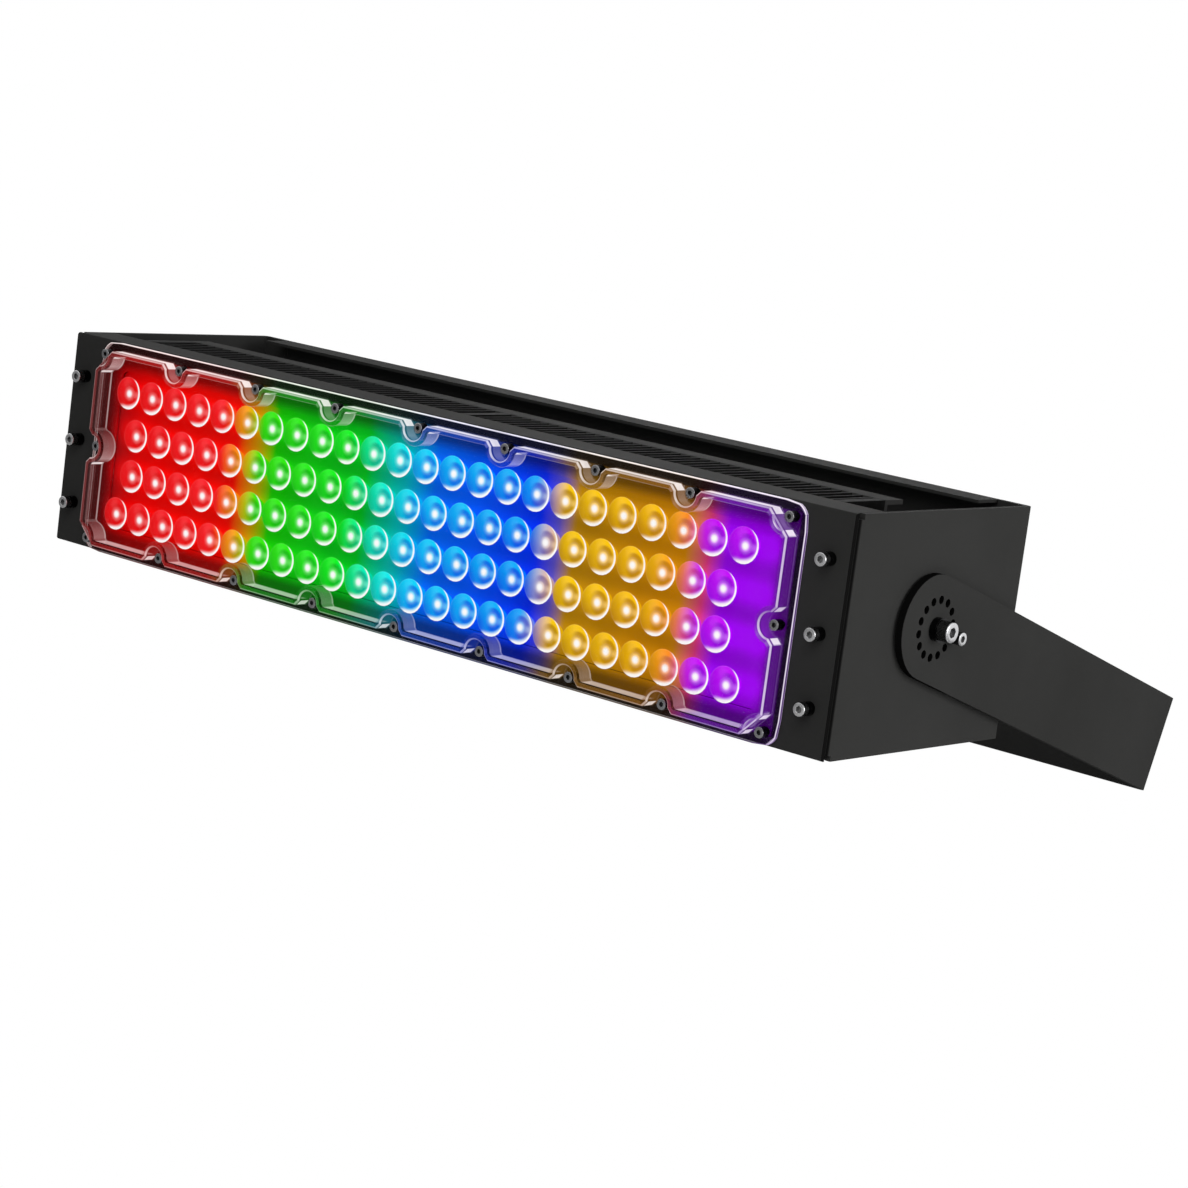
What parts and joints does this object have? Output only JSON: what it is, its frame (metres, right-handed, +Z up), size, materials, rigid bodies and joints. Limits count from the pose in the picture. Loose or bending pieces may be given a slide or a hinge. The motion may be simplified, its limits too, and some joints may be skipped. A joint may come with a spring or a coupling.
{
  "type": "floodlight",
  "caption": "Long colour LED floodlight: notched clear lens cover on a finned sheet-metal head that tilts in a U-shaped yoke with an index ring of holes.",
  "frame": {"origin": "centre of the yoke base's outer face, on the axis of its middle hole", "axes": "+X along the lamp, +Y out of the yoke base towards the wall that carries it, +Z up"},
  "size_m": [0.7282, 0.4351, 0.2022],
  "materials": {
    "powder_black": "satin black powder coat",
    "anodised_black": "black anodised",
    "clear_polycarbonate": "clear moulded, polished",
    "board_white": "white solder mask",
    "black_rubber": "matt silicone",
    "steel": "bright stainless steel",
    "dark_steel": "black nickel, glossy",
    "driver_case": "grey anodised",
    "black_nylon": "moulded nylon",
    "led_red": "lit red",
    "led_orange": "lit orange",
    "led_green": "lit green",
    "led_cyan": "lit cyan",
    "led_blue": "lit blue",
    "led_amber": "lit amber",
    "led_violet": "lit violet"
  },
  "bodies": {
    "yoke": {"yoke": "powder_black", "pivot_bolts": "steel", "pivot_collars": "dark_steel", "pivot_nuts": "steel", "friction_washers": "black_nylon", "lock_screws": "steel", "lock_sleeves": "dark_steel", "lock_nuts": "steel"},
    "head": {"front_panel": "powder_black", "side_bracket_left": "powder_black", "side_bracket_right": "powder_black", "rear_panel": "powder_black", "heatsink": "anodised_black", "driver_plate": "powder_black", "light_board": "board_white", "board_screws": "steel", "lens_cover": "clear_polycarbonate", "cover_gasket": "black_rubber", "cover_screws": "dark_steel", "flange_bolts": "steel", "flange_sleeves": "dark_steel", "flange_nuts": "steel", "rear_screws": "steel", "plate_screws": "steel", "driver_screws": "steel", "gland_body": "black_nylon", "gland_cap": "black_nylon", "gland_nut": "black_nylon", "led_driver_left": "driver_case", "led_driver_right": "driver_case", "rgb_controller": "driver_case", "leds_red": "led_red", "leds_orange": "led_orange", "leds_green": "led_green", "leds_cyan": "led_cyan", "leds_blue": "led_blue", "leds_amber": "led_amber", "leds_violet": "led_violet"}
  },
  "joints": [
    {"name": "tilt", "type": "hinge", "parent": "yoke", "child": "head", "pos_m": [0, -0.316, 0], "axis": [1, 0, 0], "range_deg": [-93, 57]}
  ]
}
